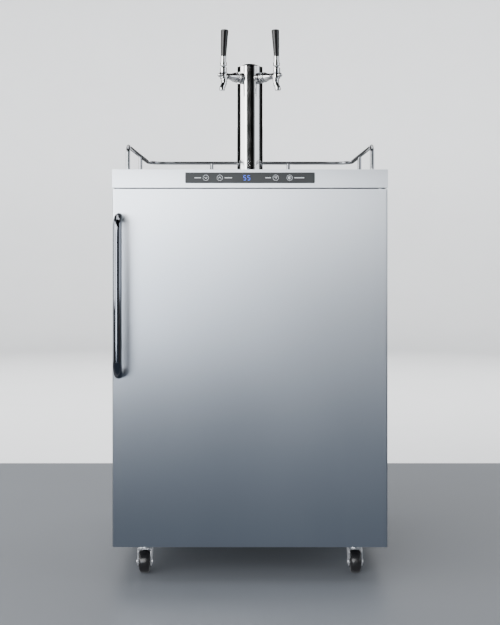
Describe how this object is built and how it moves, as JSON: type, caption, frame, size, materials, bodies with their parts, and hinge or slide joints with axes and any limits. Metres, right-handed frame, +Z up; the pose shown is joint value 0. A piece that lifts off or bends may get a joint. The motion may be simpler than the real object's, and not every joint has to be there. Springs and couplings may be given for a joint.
{
  "type": "kegerator",
  "caption": "Free-standing beer dispenser: an insulated steel cabinet on casters with a hinged door, a guard rail and a tower with angled taps.",
  "frame": {"origin": "on the floor under the middle of the whole object", "axes": "+X to the right as the user faces the door, +Y from the door to the back, +Z up"},
  "size_m": [0.6, 0.7, 1.2563],
  "materials": {
    "stainless": "vertical brushed grain, satin",
    "polished_steel": "mirror polished",
    "zinc": "zinc plated",
    "galvanised": "satin grey",
    "foam": "rigid closed-cell foam",
    "liner": "satin white",
    "seal": "matte",
    "lens": "smoked, semi-gloss",
    "button": "semi-gloss",
    "board": "circuit board",
    "tap_grip": "gloss black",
    "tray": "moulded black",
    "grille": "satin",
    "cooling_plate": "plain",
    "gas_bottle": "satin",
    "gas_brass": "satin",
    "beer_hose": "translucent vinyl",
    "gas_hose": "red vinyl",
    "clip": "white nylon",
    "compressor_black": "semi-gloss black",
    "tread": "hard rubber"
  },
  "bodies": {
    "cabinet": {"assembly_screws": "zinc", "back_panel": "galvanised", "base_pan": "galvanised", "beer_lines": "beer_hose", "bonnets": "polished_steel", "caster_mounts": "zinc", "co2_cylinder": "gas_bottle", "compressor": "compressor_black", "condenser_coil": "compressor_black", "control_fascia": "stainless", "control_lens": "lens", "coupling_nuts": "polished_steel", "display_module": "board", "door_hinges": "zinc", "evaporator_plate": "cooling_plate", "faucet_body_left": "polished_steel", "faucet_body_right": "polished_steel", "foam_insulation": "foam", "gas_lines": "gas_hose", "guard_rail": "polished_steel", "inner_liner": "liner", "keg_couplers": "gas_brass", "keg_platform": "grille", "line_clips": "clip", "regulator": "gas_brass", "shanks": "polished_steel", "side_panel_left": "stainless", "side_panel_right": "stainless", "tower_cap": "polished_steel", "tower_column": "polished_steel", "tower_flange": "polished_steel", "worktop": "stainless"},
    "door": {"door_skin": "stainless", "door_foam": "foam", "door_liner": "liner", "door_gasket": "seal", "door_handle": "polished_steel", "handle_screws": "zinc"},
    "tap_left": {"lever_left": "polished_steel", "tap_handle_left": "tap_grip"},
    "tap_right": {"lever_right": "polished_steel", "tap_handle_right": "tap_grip"},
    "button_light": {"button_light": "button"},
    "button_temp_down": {"button_temp_down": "button"},
    "button_temp_up": {"button_temp_up": "button"},
    "button_units": {"button_units": "button"},
    "tray": {"drip_tray": "tray"},
    "grille": {"drip_grille": "grille"},
    "swivel_front_left": {"caster_fork_front_left": "zinc", "caster_axle_front_left": "zinc"},
    "wheel_front_left": {"caster_wheel_front_left": "tread"},
    "swivel_front_right": {"caster_fork_front_right": "zinc", "caster_axle_front_right": "zinc"},
    "wheel_front_right": {"caster_wheel_front_right": "tread"},
    "swivel_rear_left": {"caster_fork_rear_left": "zinc", "caster_axle_rear_left": "zinc"},
    "wheel_rear_left": {"caster_wheel_rear_left": "tread"},
    "swivel_rear_right": {"caster_fork_rear_right": "zinc", "caster_axle_rear_right": "zinc"},
    "wheel_rear_right": {"caster_wheel_rear_right": "tread"}
  },
  "joints": [
    {"name": "door_hinge", "type": "hinge", "parent": "cabinet", "child": "door", "pos_m": [0.285, -0.265, 0.465], "axis": [0, 0, 1], "range_deg": [0, 115]},
    {"name": "tap_left_lever", "type": "hinge", "parent": "cabinet", "child": "tap_left", "pos_m": [-0.0642, -0.0292, 1.163], "axis": [0.7071, -0.7071, 0], "range_deg": [0, 35]},
    {"name": "tap_right_lever", "type": "hinge", "parent": "cabinet", "child": "tap_right", "pos_m": [0.0642, -0.0292, 1.163], "axis": [0.7071, 0.7071, 0], "range_deg": [0, 35]},
    {"name": "button_light_press", "type": "slide", "parent": "cabinet", "child": "button_light", "axis": [0, 1, 0], "range_m": [0, 0.0008], "stiffness_N_per_m": 1500},
    {"name": "button_temp_down_press", "type": "slide", "parent": "cabinet", "child": "button_temp_down", "axis": [0, 1, 0], "range_m": [0, 0.0008], "stiffness_N_per_m": 1500},
    {"name": "button_temp_up_press", "type": "slide", "parent": "cabinet", "child": "button_temp_up", "axis": [0, 1, 0], "range_m": [0, 0.0008], "stiffness_N_per_m": 1500},
    {"name": "button_units_press", "type": "slide", "parent": "cabinet", "child": "button_units", "axis": [0, 1, 0], "range_m": [0, 0.0008], "stiffness_N_per_m": 1500},
    {"name": "tray_lift", "type": "slide", "parent": "cabinet", "child": "tray", "axis": [0, 0, 1], "range_m": [0, 0.06]},
    {"name": "grille_lift", "type": "slide", "parent": "tray", "child": "grille", "axis": [0, 0, 1], "range_m": [0, 0.06]},
    {"name": "swivel_front_left", "type": "hinge", "parent": "cabinet", "child": "swivel_front_left", "pos_m": [-0.236, -0.195, 0.056], "axis": [0, 0, 1], "continuous": true},
    {"name": "wheel_front_left", "type": "hinge", "parent": "swivel_front_left", "child": "wheel_front_left", "pos_m": [-0.236, -0.217, 0.025], "axis": [1, 0, 0], "continuous": true},
    {"name": "swivel_front_right", "type": "hinge", "parent": "cabinet", "child": "swivel_front_right", "pos_m": [0.236, -0.195, 0.056], "axis": [0, 0, 1], "continuous": true},
    {"name": "wheel_front_right", "type": "hinge", "parent": "swivel_front_right", "child": "wheel_front_right", "pos_m": [0.236, -0.217, 0.025], "axis": [1, 0, 0], "continuous": true},
    {"name": "swivel_rear_left", "type": "hinge", "parent": "cabinet", "child": "swivel_rear_left", "pos_m": [-0.236, 0.295, 0.056], "axis": [0, 0, 1], "continuous": true},
    {"name": "wheel_rear_left", "type": "hinge", "parent": "swivel_rear_left", "child": "wheel_rear_left", "pos_m": [-0.236, 0.273, 0.025], "axis": [1, 0, 0], "continuous": true},
    {"name": "swivel_rear_right", "type": "hinge", "parent": "cabinet", "child": "swivel_rear_right", "pos_m": [0.236, 0.295, 0.056], "axis": [0, 0, 1], "continuous": true},
    {"name": "wheel_rear_right", "type": "hinge", "parent": "swivel_rear_right", "child": "wheel_rear_right", "pos_m": [0.236, 0.273, 0.025], "axis": [1, 0, 0], "continuous": true}
  ]
}
